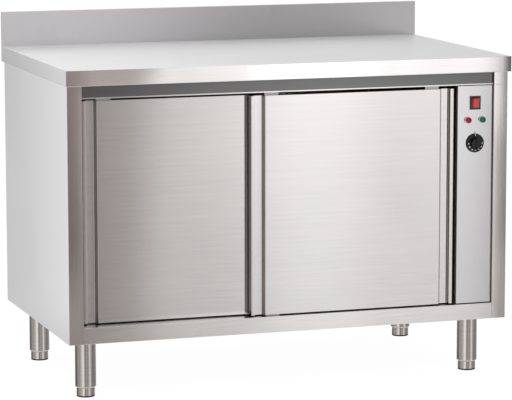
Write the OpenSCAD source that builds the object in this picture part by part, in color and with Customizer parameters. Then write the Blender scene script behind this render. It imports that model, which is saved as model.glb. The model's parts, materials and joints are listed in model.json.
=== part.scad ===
// Plate warmer cabinet in folded stainless sheet: worktop with upstand, two sliding doors on
// overhead rollers, a fan heater behind a side partition and a narrow control compartment.
// +Z is up, the front faces -Y, X runs from left to right, and the origin lies on the floor
// under the middle of the worktop. All lengths are in millimetres.

/* [Worktop] */
// Width of the worktop
top_w = 1200; // [1000:1:1800]
// Depth of the worktop
top_d = 700; // [600:1:900]
// Height of the work surface above the floor
top_h = 850; // [800:1:950]
// Height of the turned-down edge
top_edge = 40; // [30:1:60]
// Width of the lip turned in under the edge
top_lip = 18; // [12:1:30]
// Sheet thickness of the worktop
top_sheet = 1.5; // [1:0.1:3]
// Height of the upstand above the work surface
upstand_h = 95; // [60:1:200]
// Depth of the upstand
upstand_d = 15; // [8:1:40]
// Width of the crown of each stiffener under the worktop
stiffener_w = 50; // [30:1:80]

/* [Cabinet body] */
// Overhang of the worktop past each side of the body
side_over = 5; // [2:0.5:20]
// Overhang of the worktop past the front and the back of the body
front_over = 12; // [6:0.5:16]
// Height of the underside of the body above the floor
leg_h = 154; // [120:1:200]
// Sheet thickness of the body
body_sheet = 1.2; // [0.8:0.1:2]
// Width of the front posts
post_w = 38; // [30:1:60]
// Depth of the fold behind the inner edge of each post
post_return = 30; // [24:1:40]
// Width of the flanges that stiffen the sheets
flange_w = 22; // [15:1:25]
// Height of the bottom rail
rail_h = 42; // [30:1:60]
// Depth of the top flange of the bottom rail, which the doors run over
rail_d = 80; // [76:1:100]
// Height of the top rail between the posts
top_rail_h = 34; // [33:0.5:50]
// Set-back of the top rail and the control panel from the face of the posts
face_setback = 8; // [4:0.5:9]
// Height of the hemmed lower edge of the top rail
hem_h = 3; // [2:0.5:6]

/* [Sliding doors] */
// Length by which the two doors overlap when closed
door_overlap = 120; // [115:1:160]
// Gap between a closed door and the side of the opening
door_side_gap = 10.5; // [6:0.5:15]
// Gap under the doors
door_bottom_gap = 3.5; // [3:0.5:8]
// Gap over the doors
door_top_gap = 8.5; // [6:0.5:10]
// Thickness of a door
door_t = 22; // [20:0.5:26]
// Set-back of the front door from the face of the posts
door_setback = 10; // [9:0.5:14]
// Gap between the two doors, front to back
lane_gap = 6; // [5:0.5:10]
// Sheet thickness of the door skin
door_sheet = 1; // [0.7:0.1:1.5]
// Width of the lip at each upright edge of a door
pull_lip = 10; // [8:0.5:16]
// Width of the finger pull at the face of the door
pull_w = 28; // [22:0.5:36]
// Depth of the finger pull
pull_depth = 11; // [8:0.5:14]
// Run of the slanted inner wall of the finger pull
pull_slope = 6; // [2:0.5:10]
// Width of the fold at the back of the door skin
door_return = 14; // [8:0.5:20]

/* [Door running gear] */
// Distance of each roller from its end of the door
hanger_inset = 58; // [52:1:90]
// Width of a roller hanger
hanger_w = 38; // [30:1:44]
// Thickness of a roller hanger
hanger_t = 3; // [2:0.5:4]
// Height of the roller axles above the tops of the doors
axle_rise = 26.5; // [26:0.1:27]
// Outer radius of a roller
roller_r = 12; // [11.5:0.1:12.5]
// Radius of a roller at the root of its groove
roller_root_r = 9; // [8.5:0.1:9.5]
// Width of a roller
roller_w = 6; // [5:0.1:7]
// Radius of a roller axle
axle_r = 3; // [2:0.1:4]
// Radial clearance of every running fit
fit = 0.05; // [0.02:0.01:0.1]
// Sheet thickness of the door tracks
track_sheet = 2; // [1.5:0.1:2.5]
// Thickness of the guide fins that run in the doors
guide_fin = 4; // [3:0.1:5]

/* [Controls] */
// Width of the control panel
control_w = 98; // [90:1:140]
// Gap between the control panel and the right post
control_gap = 1; // [0.5:0.1:2]
// Depth of the folds round the control panel
control_return = 15; // [10:1:18]
// Height of the middle of the switch above the middle of the dial
switch_rise = 106; // [95:1:140]
// Height of the lamps above the middle of the dial
lamp_rise = 61; // [50:1:66]
// Distance from one lamp to the other
lamp_pitch = 40; // [30:1:50]
// Distance of the middle of the dial under the top of the control panel
dial_drop = 151; // [140:1:200]
// Radius of the dial
dial_r = 25; // [20:0.5:30]
// Depth of the dial in front of the panel
dial_d = 18; // [14:0.5:19]
// Radius of the thermostat shaft
shaft_r = 3; // [2:0.1:4]
// Width of the switch bezel
switch_w = 30; // [26:0.5:36]
// Height of the switch bezel
switch_h = 36; // [32:0.5:42]
// Angle between the off and on positions of the rocker
rocker_throw = 14; // [8:1:20]
// Radius of a lamp lens
lens_r = 7.5; // [5:0.1:9]

/* [Inside] */
// Height of the shelf above the cabinet floor
shelf_rise = 290; // [270:1:330]
// Sheet thickness of the shelf
shelf_sheet = 1.2; // [0.8:0.1:2]
// Depth of the turned-down edges of the shelf
shelf_edge = 25; // [15:1:40]
// Width of the shelf supports
angle_w = 26; // [20:1:40]
// Height of the fan shaft above the cabinet floor
fan_rise = 135; // [130:1:140]
// Distance of the fan shaft in front of the back of the body
fan_back = 280; // [160:1:320]
// Radius of the fan wheel
fan_r = 75; // [60:1:80]
// Half the side of the square fan cover
cover_half = 122; // [112:1:125]
// Depth of the fan cover
cover_d = 52; // [48:1:80]
// Radius of the heating element rings
element_ring_r = 97; // [92:1:100]
// Radius of the heating element tube
element_r = 4; // [3:0.1:5]
// Radius of the sleeve round the wiring
loom_r = 4.5; // [3:0.1:6]
// Radius of a wire
wire_r = 1.1; // [0.8:0.1:1.5]

/* [Legs] */
// Radius of the leg tubes
leg_r = 27; // [22:0.5:30]
// Distance of the leg centres from the sides of the body
leg_inset_x = 67; // [64:1:100]
// Distance of the front legs from the front of the body
leg_inset_front = 99; // [80:1:140]
// Distance of the back legs from the back of the body
leg_inset_back = 87; // [70:1:140]
// Height of the foot that shows under a leg tube
foot_h = 24; // [16:1:40]
// Radius of a foot
foot_r = 23.5; // [18:0.5:26]
// Thickness of the plastic pad under a foot
pad_t = 3; // [2:0.5:6]
// Radius of the threaded spindle of a foot
spindle_r = 6; // [4:0.5:8]
// Length of the spindle above the foot
spindle_l = 72; // [60:1:90]

/* [Hidden] */
$fn = 48;

seat = 0.3;              // gap between pieces that only rest beside each other
stop_gap = 0.5;          // gap between a roller and its end stop
screw_play = 0.25;       // radial play of a screw in its hole

// Faces of the worktop and the body
top_x = top_w / 2;
top_y = top_d / 2;
body_x = top_x - side_over;
body_y = top_y - front_over;
body_top = top_h - top_edge;
panel_top = body_top - body_sheet;
inner_x = body_x - body_sheet;
inner_y = body_y - body_sheet;
rail_top = leg_h + rail_h;
floor_top = rail_top + body_sheet;
opening_x = body_x - post_w;
face_y = -body_y + face_setback;
rail_bottom = body_top - top_rail_h;
rail_flange = 18;

// Screws and vents of the back panel
screw_r = 2;
screw_count = 5;
screw_margin = 50;
screw_pitch = (panel_top - leg_h - 2 * screw_margin) / (screw_count - 1);
screw_heights = [for (i = [0 : screw_count - 1]) leg_h + screw_margin + i * screw_pitch];
vent_count = 10;
vent_pitch = 14;
vent_h = 5;
vent_drop = 85;

// Control compartment
control_right = opening_x - control_gap;
control_left = control_right - control_w;
control_top = rail_bottom - 2;
control_bottom = rail_top + 1.5;
partition_x = control_left + body_sheet;
control_x = (control_left + control_right) / 2;
dial_z = control_top - dial_drop;
switch_z = dial_z + switch_rise;
lamp_z = dial_z + lamp_rise;

// Doors: both are alike, and each slides until it covers the other
door_w = (control_left + opening_x - 2 * door_side_gap + door_overlap) / 2;
door_z0 = rail_top + door_bottom_gap;
door_z1 = rail_bottom - door_top_gap;
left_door_x = -opening_x + door_side_gap;
right_door_x = control_left - door_side_gap - door_w;
front_lane = -body_y + door_setback;
rear_lane = front_lane + door_t + lane_gap;

// Running gear, measured from the front face of a door
axle_z = door_z1 + axle_rise;
hanger_y = door_t / 2 - hanger_t / 2;
roller_y = hanger_y + hanger_t + 0.5;
lip_y = roller_y + roller_w / 2 - track_sheet / 2;
track_reach = 14;
web_y = lip_y + track_reach;
groove_w = track_sheet + 0.6;
roller_drop = 5;
track_floor = axle_z - roller_r - roller_drop;
hanger_foot = 3;
hanger_bolt_x = 12;
hanger_bolt_y = hanger_y + hanger_t + 3.4;
bolt_r = 2.5;
stop_l = 15;
guide_x = (control_left - opening_x) / 2;
groove_x = pull_lip + pull_w + 2;
guide_w = door_overlap - 2 * groove_x - 4;
floor_front = rear_lane + door_t / 2 + 13;

// Shelf and fan
shelf_top = floor_top + shelf_rise;
fan_y = body_y - fan_back;
fan_z = floor_top + fan_rise;
cover_x = partition_x - cover_d;
wheel_back = partition_x - 7;
wheel_front = cover_x + 6;
motor_gap = 20;
motor_x = partition_x + body_sheet + motor_gap;
motor_r = 36;
motor_l = 44;
motor_hole = 12;
stud_half = 32;
stud_r = 3;
fan_shaft_r = 4;
element_step = 16;
element_end = 14;
terminal_half_z = 12;

// Controls
panel_hole_r = shaft_r + 1;
switch_hole_w = switch_w - 4;
switch_hole_h = switch_h - 6;
rocker_w = switch_w - 9;
rocker_h = switch_h - 10;
rocker_pin_r = 1.5;
rocker_axis_y = face_y + 5;
barrel_r = lens_r - 1.5;
bezel_r = lens_r + 1.5;

// Thermostat
shaft_l = 30;
shaft_front = 12.8;
thermostat_half = 21;
thermostat_d = 34;
capillary_r = 1;
capillary_drop = 14;
bulb_r = 4;
bulb_l = 95;
bulb_set_back = 270;
bulb_y = face_y + bulb_set_back;
bulb_z = dial_z - 30;

// Legs
leg_x = body_x - leg_inset_x;
leg_front = -body_y + leg_inset_front;
leg_back = body_y - leg_inset_back;
leg_top = leg_h + body_sheet + seat;
plate_half = leg_inset_x - body_sheet - flange_w - 2 * seat;
plate_t = 3;
plate_bolt = plate_half - 9;
leg_bolt_r = 4;
leg_bolt_l = 17;
leg_bolt_hex = 6.8;
leg_bolt_head = 5;
channel_half = plate_half + 13;
channel_sheet = 2;
channel_z = leg_top + plate_t;

// Cable entry and terminals
gland_inset = 26;
gland_rise = 60;
gland_x = control_right - gland_inset;
gland_z = floor_top + gland_rise;
gland_r = 8;
gland_bore = 4.5;
block_rise = 130;
block_z = floor_top + block_rise;
block_h = 24;
block_half = 30;
block_pitch = 12;
block_y = inner_y - body_sheet - 12;

// Wiring: a sleeve from the terminals forward beside the right side, and up behind the controls
loom_x = control_right + 16;
loom_y = face_y + 68;
loom_z = fan_z + stud_half + 16;
loom_bend = 16;
wire_bend = 8;
wire_lap = 0.15;

// ---- Shapes shared by the pieces ----

function unit(v) = v / norm(v);
function left_of(v) = [-v[1], v[0]];
function side_normal(p, i) = left_of(unit(p[i + 1] - p[i]));
function mitre(a, b) = (a + b) / (1 + a * b);

// The face that lies one thickness to the left of a folded path
function inner_face(p, t) = [for (i = [0 : len(p) - 1])
    p[i] + t * (i == 0 ? side_normal(p, 0)
        : i == len(p) - 1 ? side_normal(p, i - 1)
        : mitre(side_normal(p, i - 1), side_normal(p, i)))];

function reversed(p) = [for (i = [len(p) - 1 : -1 : 0]) p[i]];

// Cross-section of a folded sheet: p is its outer face, with the thickness to the left of it
module folded(p, t) {
    polygon(concat(p, reversed(inner_face(p, t))));
}

// A profile in Y and Z, drawn out along X
module along_x(x0, x1) {
    translate([x0, 0, 0])
        rotate([90, 0, 90])
            linear_extrude(x1 - x0)
                children();
}

// A profile in X and Z, drawn out along Y
module along_y(y0, y1) {
    translate([0, y1, 0])
        rotate([90, 0, 0])
            linear_extrude(y1 - y0)
                children();
}

// A profile in X and Y, drawn out along Z
module along_z(z0, z1) {
    translate([0, 0, z0])
        linear_extrude(z1 - z0)
            children();
}

module block(low, high) {
    translate(low)
        cube(high - low);
}

module rod_x(p, r, l) {
    translate(p)
        rotate([0, 90, 0])
            cylinder(r = r, h = l);
}

module rod_y(p, r, l) {
    translate(p)
        rotate([-90, 0, 0])
            cylinder(r = r, h = l);
}

module rod_z(p, r, l) {
    translate(p)
        cylinder(r = r, h = l);
}

// Hexagon head or nut with its axis along Z
module hex_z(p, r, l) {
    translate(p)
        cylinder(r = r, h = l, $fn = 6);
}

// Rod from one point to another
module rod(a, b, r) {
    d = b - a;
    translate(a)
        rotate([0, acos(d[2] / norm(d)), atan2(d[1], d[0])])
            cylinder(r = r, h = norm(d));
}

// Angles that turn the X and Y axes into two given directions
function turn_to(x, y) = let (z = cross(x, y))
    abs(x[2]) > 0.999 ? [atan2(-z[1], y[1]), -90 * sign(x[2]), 0]
        : [atan2(y[2], z[2]), -asin(x[2]), atan2(x[1], x[0])];

// Round wire along a path, with bends that lap over the straight runs
module wire(path, r, bend) {
    last = len(path) - 1;
    d = [for (i = [0 : last - 1]) unit(path[i + 1] - path[i])];
    cut = [for (i = [0 : last])
        i == 0 || i == last ? 0 : bend * tan(acos(d[i - 1] * d[i]) / 2) - 2 * wire_lap];
    for (i = [0 : last - 1])
        rod(path[i] + cut[i] * d[i], path[i + 1] - cut[i + 1] * d[i], r);
    for (i = [1 : last - 1])
        let (angle = acos(d[i - 1] * d[i]), inward = unit(d[i] - (d[i - 1] * d[i]) * d[i - 1]))
            translate(path[i] - bend * tan(angle / 2) * d[i - 1] + bend * inward)
                rotate(turn_to(-inward, d[i - 1]))
                    intersection() {
                        rotate_extrude()
                            translate([bend, 0])
                                circle(r = r + wire_lap);
                        translate([0, 0, -r - 1])
                            linear_extrude(2 * r + 2)
                                polygon([[0, 0], [2 * bend, 0],
                                    2 * bend * [1, tan(angle / 2)],
                                    2 * bend * [cos(angle), sin(angle)]]);
                    }
}

// ---- Worktop ----

module worktop() {
    end = [[-top_y, body_top], [top_y, body_top], [top_y, top_h + upstand_h],
        [top_y - upstand_d, top_h + upstand_h], [top_y - upstand_d, top_h], [-top_y, top_h]];
    color("gainsboro") {
        along_x(-top_x + top_sheet, top_x - top_sheet)
            folded([[top_y - top_lip, body_top], [top_y, body_top],
                [top_y, top_h + upstand_h], [top_y - upstand_d, top_h + upstand_h],
                [top_y - upstand_d, top_h], [-top_y, top_h], [-top_y, body_top],
                [-top_y + top_lip, body_top]], top_sheet);
        for (side = [-1, 1]) {
            along_x(side * top_x - (side > 0 ? top_sheet : 0),
                side * top_x + (side > 0 ? 0 : top_sheet))
                polygon(end);
            along_y(-top_y + top_sheet, top_y - top_sheet)
                polygon([[side * top_x, body_top], [side * (top_x - top_lip), body_top],
                    [side * (top_x - top_lip), body_top + top_sheet],
                    [side * top_x, body_top + top_sheet]]);
        }
    }
}

// Two hat sections between the worktop and the ceiling panel
module worktop_stiffeners() {
    crown = top_h - top_sheet;
    foot = body_top + body_sheet;
    half = stiffener_w / 2;
    color("silver")
        for (y = [-body_y / 2, body_y / 2])
            along_x(-inner_x + 30, inner_x - 30)
                folded([[y + half + 20, foot], [y + half, foot], [y + half, crown],
                    [y - half, crown], [y - half, foot], [y - half - 20, foot]],
                    body_sheet);
}

// ---- Cabinet body ----

module ceiling_panel() {
    color("lightgray")
        block([-body_x, -body_y, panel_top], [body_x, body_y, body_top]);
}

// The left side: front post, side and back flange folded from one sheet
module side_panel() {
    face = [[-opening_x, -body_y + post_return], [-opening_x, -body_y], [-body_x, -body_y],
        [-body_x, body_y], [-body_x + flange_w, body_y]];
    color("gainsboro")
        difference() {
            union() {
                along_z(leg_h, panel_top)
                    folded(reversed(face), body_sheet);
                for (z = [leg_h, panel_top - body_sheet])
                    block([-inner_x - body_sheet / 2, -body_y + post_return, z],
                        [-inner_x + flange_w, inner_y - 2 * body_sheet, z + body_sheet]);
            }
            for (z = screw_heights)
                rod_y([-body_x + flange_w / 2, inner_y - 1, z], screw_r + screw_play, 4);
        }
}

// Back sheet inside the flanges of the sides, with vents behind the control compartment
module back_panel() {
    vent_x0 = partition_x + flange_w + 2;
    vent_x1 = control_right + 6;
    color("lightgray")
        difference() {
            block([-inner_x, inner_y - body_sheet, leg_h], [inner_x, inner_y, panel_top]);
            for (z = [for (i = [1 : vent_count]) panel_top - vent_drop - vent_pitch * i])
                block([vent_x0, inner_y - body_sheet - 1, z],
                    [vent_x1, inner_y + 1, z + vent_h]);
            rod_y([gland_x, inner_y - body_sheet - 1, gland_z], gland_r + screw_play,
                body_sheet + 2);
            for (side = [-1, 1])
                for (z = screw_heights)
                    rod_y([side * (body_x - flange_w / 2), inner_y - body_sheet - 1, z],
                        screw_r + screw_play, body_sheet + 2);
        }
}

module back_screws() {
    color("silver")
        for (side = [-1, 1])
            for (z = screw_heights) {
                rod_y([side * (body_x - flange_w / 2), inner_y - body_sheet - 6, z], screw_r,
                    2 * body_sheet + 6.2);
                translate([side * (body_x - flange_w / 2), body_y, z])
                    rotate([-90, 0, 0])
                        cylinder(r1 = 4, r2 = 3, h = 2);
            }
}

module base_panel() {
    color("lightgray") {
        along_y(floor_front, inner_y - body_sheet)
            folded([[inner_x, floor_top - flange_w], [inner_x, floor_top],
                [-inner_x, floor_top], [-inner_x, floor_top - flange_w]], body_sheet);
        block([-inner_x + body_sheet / 2, inner_y - 2 * body_sheet, floor_top - flange_w],
            [inner_x - body_sheet / 2, inner_y - body_sheet, floor_top - body_sheet / 2]);
    }
}

// Two channels under the floor that carry the legs, cut away under the flange of the bottom rail
module base_channels() {
    color("silver")
        for (side = [-1, 1])
            translate([side * leg_x, 0, 0])
                difference() {
                    along_y(-body_y + post_return + 1, inner_y - 2 * body_sheet)
                        folded([[-channel_half, rail_top], [-channel_half, channel_z],
                            [channel_half, channel_z], [channel_half, rail_top]],
                            channel_sheet);
                    for (y = [leg_front, leg_back])
                        for (dx = [-plate_bolt, plate_bolt])
                            for (dy = [-plate_bolt, plate_bolt])
                                rod_z([dx, y + dy, channel_z - 1], leg_bolt_r + screw_play, 4);
                    block([-channel_half - 1, -body_y, rail_top - body_sheet],
                        [channel_half + 1, -body_y + rail_d + 1, rail_top + 1]);
                }
}

module bottom_rail() {
    color("gainsboro")
        along_x(-opening_x, opening_x)
            folded([[-body_y + rail_d, rail_top], [-body_y, rail_top], [-body_y, leg_h],
                [-body_y + flange_w, leg_h]], body_sheet);
}

// Set back between the posts, with a hem along its lower edge
module top_rail() {
    color("dimgray")
        along_x(-opening_x, opening_x) {
            folded([[face_y + rail_flange, panel_top], [face_y, panel_top], [face_y, rail_bottom],
                [face_y + 7, rail_bottom]], body_sheet);
            translate([face_y - body_sheet, rail_bottom])
                square([body_sheet * 1.5, hem_h]);
        }
}

// ---- Sliding doors ----

// J-shaped track: a lip that the rollers straddle, a floor, and a web up to the ceiling panel
module door_track(lane) {
    color("silver")
        along_x(-opening_x, partition_x)
            folded([[lane + lip_y, axle_z - roller_root_r - seat],
                [lane + lip_y, track_floor], [lane + web_y, track_floor],
                [lane + web_y, panel_top - track_sheet],
                [lane + web_y + 12, panel_top - track_sheet]], track_sheet);
}

// Rubber blocks in the tracks, which the rollers meet at the ends of the travel
module door_stops() {
    left_end = left_door_x + hanger_inset - roller_r - stop_gap;
    right_end = right_door_x + door_w - hanger_inset + roller_r + stop_gap;
    color("black")
        for (lane = [front_lane, rear_lane])
            for (x = [left_end - stop_l, right_end])
                block([x, lane + lip_y + track_sheet, track_floor + track_sheet],
                    [x + stop_l, lane + web_y - track_sheet, axle_z + roller_r / 2]);
}

// Nylon guide on the bottom rail, with one fin for each door
module door_guide() {
    base_t = door_bottom_gap - 0.8;
    color("ivory") {
        block([guide_x - guide_w / 2, front_lane + door_t / 2 - 7, rail_top],
            [guide_x + guide_w / 2, rear_lane + door_t / 2 + 7, rail_top + base_t]);
        for (lane = [front_lane, rear_lane])
            block([guide_x - guide_w / 2, lane + door_t / 2 - guide_fin / 2, rail_top],
                [guide_x + guide_w / 2, lane + door_t / 2 + guide_fin / 2, door_z0 + 6]);
    }
}

function hanger_centres(x0) = [x0 + hanger_inset, x0 + door_w - hanger_inset];

// Outer face of a door skin, seen from above, from its left end to its middle
function half_door(x0, y0) = [[x0 + door_return, y0 + door_t], [x0, y0 + door_t], [x0, y0],
    [x0 + pull_lip, y0], [x0 + pull_lip, y0 + pull_depth],
    [x0 + pull_lip + pull_w - pull_slope, y0 + pull_depth], [x0 + pull_lip + pull_w, y0]];

function door_face(x0, y0) = concat(half_door(x0, y0),
    [for (p = reversed(half_door(x0, y0))) [2 * x0 + door_w - p[0], p[1]]]);

module door_skin(x0, y0) {
    color("gainsboro")
        along_z(door_z0, door_z1)
            folded(door_face(x0, y0), door_sheet);
}

// Inner sheet of a door with its top and bottom caps; the bottom cap has the guide slot
module door_liner(x0, y0) {
    back = y0 + door_t - door_sheet;
    color("lightgray") {
        block([x0 + door_sheet, back - door_sheet, door_z0],
            [x0 + door_w - door_sheet, back, door_z1]);
        difference() {
            along_z(door_z1 - 2 * door_sheet, door_z1)
                polygon(inner_face(door_face(x0, y0), door_sheet));
            for (x = hanger_centres(x0))
                for (dx = [-hanger_bolt_x, hanger_bolt_x])
                    rod_z([x + dx, y0 + hanger_bolt_y, door_z1 - 5], bolt_r + screw_play, 10);
        }
        difference() {
            along_z(door_z0, door_z0 + 2 * door_sheet)
                polygon(inner_face(door_face(x0, y0), door_sheet));
            block([x0 + groove_x, y0 + door_t / 2 - guide_fin / 2 - 0.6, door_z0 - 1],
                [x0 + door_w - groove_x, y0 + door_t / 2 + guide_fin / 2 + 0.6, door_z0 + 5]);
        }
    }
}

// Angle plates on top of a door, each with the axle of its roller riveted in
module door_hangers(x0, y0) {
    half = hanger_w / 2;
    top = axle_z + 8;
    color("silver")
        for (x = hanger_centres(x0)) {
            difference() {
                union() {
                    along_y(y0 + hanger_y, y0 + hanger_y + hanger_t)
                        polygon([[x - half, door_z1], [x + half, door_z1],
                            [x + half, door_z1 + 12], [x + 11, top], [x - 11, top],
                            [x - half, door_z1 + 12]]);
                    block([x - half, y0 + hanger_y, door_z1],
                        [x + half, y0 + door_t - 1.5, door_z1 + hanger_foot]);
                }
                for (dx = [-hanger_bolt_x, hanger_bolt_x])
                    rod_z([x + dx, y0 + hanger_bolt_y, door_z1 - 1], bolt_r + screw_play, 8);
            }
            rod_y([x, y0 + hanger_y + 1, axle_z], axle_r,
                roller_y - hanger_y + roller_w + 0.4);
            rod_y([x, y0 + roller_y + roller_w + seat, axle_z], axle_r + 2, 1.2);
        }
}

module door_bolts(x0, y0) {
    color("gray")
        for (x = hanger_centres(x0))
            for (dx = [-hanger_bolt_x, hanger_bolt_x]) {
                rod_z([x + dx, y0 + hanger_bolt_y, door_z1 - 6], bolt_r, hanger_foot + 7);
                hex_z([x + dx, y0 + hanger_bolt_y, door_z1 + hanger_foot], 3.9, 3.2);
            }
}

// Grooved roller
module door_roller(x, y0) {
    half = groove_w / 2;
    mid = roller_w / 2;
    color("white")
        translate([x, y0 + roller_y, axle_z])
            rotate([-90, 0, 0])
                rotate_extrude()
                    polygon([[axle_r + fit, 0], [roller_r - 0.8, 0], [roller_r, 0.8],
                        [roller_root_r, mid - half], [roller_root_r, mid + half],
                        [roller_r, roller_w - 0.8], [roller_r - 0.8, roller_w],
                        [axle_r + fit, roller_w]]);
}

// ---- Control compartment ----

// Wall between the heated space and the controls, with the studs of the fan motor
module partition() {
    back = inner_y - body_sheet;
    front = face_y + body_sheet;
    notch = face_y + rail_flange + seat;
    color("lightgray") {
        difference() {
            along_x(partition_x, partition_x + body_sheet)
                polygon([[back, floor_top], [back, panel_top], [notch, panel_top],
                    [notch, control_top - body_sheet], [front, control_top - body_sheet],
                    [front, control_bottom + body_sheet], [notch, control_bottom + body_sheet],
                    [notch, floor_top]]);
            rod_x([partition_x - 1, fan_y, fan_z], motor_hole, 4);
            for (dz = [-terminal_half_z, terminal_half_z])
                rod_x([partition_x - 1, fan_y + element_ring_r, fan_z + dz],
                    element_r + seat, 4);
            rod_x([partition_x - 1, bulb_y, bulb_z], capillary_r + seat, 4);
        }
        for (z = [floor_top, panel_top - body_sheet])
            block([partition_x + body_sheet / 2, floor_front + 10, z],
                [partition_x + flange_w, back, z + body_sheet]);
        for (dy = [-stud_half, stud_half])
            for (dz = [-stud_half, stud_half])
                rod_x([partition_x + body_sheet / 2, fan_y + dy, fan_z + dz], stud_r,
                    motor_x - partition_x + 8);
    }
}

// Folded panel with the cut-outs for the switch, the lamps and the thermostat shaft
module control_panel() {
    color("gainsboro")
        difference() {
            block([control_left, face_y, control_bottom],
                [control_right, face_y + control_return, control_top]);
            block([control_left + body_sheet, face_y + body_sheet, control_bottom + body_sheet],
                [control_right - body_sheet, face_y + control_return + 1,
                control_top - body_sheet]);
            block([control_x - switch_hole_w / 2, face_y - 1, switch_z - switch_hole_h / 2],
                [control_x + switch_hole_w / 2, face_y + 3, switch_z + switch_hole_h / 2]);
            for (side = [-1, 1])
                rod_y([control_x + side * lamp_pitch / 2, face_y - 1, lamp_z],
                    barrel_r + screw_play, 4);
            rod_y([control_x, face_y - 1, dial_z], panel_hole_r, 4);
        }
}

// Housing of the rocker switch: a bezel in front of the panel and a body behind it
module switch_frame() {
    body_w = switch_hole_w - 0.4;
    body_h = switch_hole_h - 0.4;
    color("black")
        difference() {
            union() {
                block([control_x - switch_w / 2, face_y - 2, switch_z - switch_h / 2],
                    [control_x + switch_w / 2, face_y, switch_z + switch_h / 2]);
                block([control_x - body_w / 2, face_y - 1, switch_z - body_h / 2],
                    [control_x + body_w / 2, face_y + 24, switch_z + body_h / 2]);
            }
            block([control_x - rocker_w / 2 - seat, face_y - 3, switch_z - rocker_h / 2 - seat],
                [control_x + rocker_w / 2 + seat, face_y + 12, switch_z + rocker_h / 2 + seat]);
            rod_x([control_x - rocker_w / 2 - 1.4, rocker_axis_y, switch_z],
                rocker_pin_r + fit, rocker_w + 2.8);
        }
    color("goldenrod")
        for (dz = [-8, 0, 8])
            block([control_x - 3, face_y + 24, switch_z + dz - 0.4],
                [control_x + 3, face_y + 32, switch_z + dz + 0.4]);
}

// Rocker with its two pins, shown switched off
module switch_rocker() {
    tilt = rocker_throw / 2;
    half = (rocker_h / 2 - 9 * sin(tilt)) / cos(tilt);
    rise = half * sin(tilt);
    color("red")
        translate([0, rocker_axis_y, switch_z])
            rotate([tilt, 0, 0]) {
                along_x(control_x - rocker_w / 2, control_x + rocker_w / 2)
                    polygon([[-7 - rise, half], [-7, 0], [-7 - rise, -half], [-3, -half],
                        [4, -half * 0.5], [4, half * 0.5], [-3, half]]);
                rod_x([control_x - rocker_w / 2 - 1.2, 0, 0], rocker_pin_r, rocker_w + 2.4);
            }
}

// Chromed rims with their threaded barrels and nuts
module lamp_bezels() {
    color("silver")
        for (side = [-1, 1])
            translate([control_x + side * lamp_pitch / 2, face_y, lamp_z])
                rotate([90, 0, 0])
                    rotate_extrude()
                        polygon([[lens_r - 2, -16], [barrel_r, -16], [barrel_r, -6],
                            [bezel_r, -6], [bezel_r, -body_sheet - 0.1],
                            [barrel_r, -body_sheet - 0.1], [barrel_r, 0], [bezel_r, 0],
                            [bezel_r, 1], [lens_r + 0.4, 2.4], [lens_r + 0.05, 2.4],
                            [lens_r + 0.05, 0.8], [lens_r - 2, 0.8]]);
}

// Domed lens in its rim
module lamp_lens(side) {
    translate([control_x + side * lamp_pitch / 2, face_y, lamp_z])
        rotate([90, 0, 0])
            rotate_extrude()
                polygon(concat([[0, 0.8], [lens_r, 0.8], [lens_r, 8]],
                    [for (a = [15 : 15 : 90])
                        [lens_r * cos(a), 8 + 5.5 * sin(a)]]));
}

// Skirted knob with a raised grip bar
module dial_knob() {
    skirt = 4;
    front = face_y - 0.8;
    color("black")
        difference() {
            union() {
                translate([control_x, front, dial_z])
                    rotate([90, 0, 0])
                        rotate_extrude()
                            polygon([[0, 0], [dial_r, 0], [dial_r, 1.6], [dial_r - 2, skirt],
                                [dial_r * 0.58, skirt], [dial_r * 0.54, dial_d - 4],
                                [dial_r * 0.48, dial_d - 3], [0, dial_d - 3]]);
                along_z(dial_z - dial_r * 0.62, dial_z + dial_r * 0.62)
                    polygon([[control_x - 4.5, front - skirt], [control_x + 4.5, front - skirt],
                        [control_x + 3, front - dial_d + 1], [control_x + 2, front - dial_d],
                        [control_x - 2, front - dial_d], [control_x - 3, front - dial_d + 1]]);
            }
            rod_y([control_x, face_y - shaft_front, dial_z], shaft_r, shaft_l);
        }
}

module thermostat_shaft() {
    color("silver")
        rod_y([control_x, face_y - shaft_front, dial_z], shaft_r, shaft_l);
}

// Thermostat body behind the panel, and its capillary and bulb on the heated side
module thermostat() {
    body_back = face_y + thermostat_d;
    bulb_x = partition_x - bulb_r - seat;
    turn = [control_x - 16, bulb_y, bulb_z];
    drop = [0, 0, capillary_drop];
    color("saddlebrown")
        difference() {
            union() {
                block([control_x - thermostat_half, face_y + body_sheet + 3,
                    dial_z - thermostat_half],
                    [control_x + thermostat_half, body_back, dial_z + thermostat_half]);
                rod_y([control_x, face_y + body_sheet, dial_z], shaft_r + 4, 8);
            }
            rod_y([control_x, face_y, dial_z], shaft_r + fit, shaft_l - 6);
        }
    color("peru") {
        rod_y([turn[0], body_back - 2, bulb_z + capillary_drop], capillary_r,
            bulb_y - body_back + 2);
        translate(turn + drop)
            sphere(r = capillary_r);
        rod_z(turn, capillary_r, capillary_drop);
        translate(turn)
            sphere(r = capillary_r);
        rod_x([bulb_x, bulb_y, bulb_z], capillary_r, turn[0] - bulb_x);
        rod_y([bulb_x, bulb_y - 3, bulb_z], bulb_r, bulb_l);
    }
}

module terminal_block() {
    color("beige")
        difference() {
            block([gland_x - block_half, block_y - 10, block_z],
                [gland_x + block_half, inner_y - body_sheet, block_z + block_h]);
            for (i = [-2 : 2])
                rod_z([gland_x + i * block_pitch, block_y, block_z + block_h - 10], 3.2, 11);
        }
}

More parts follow.
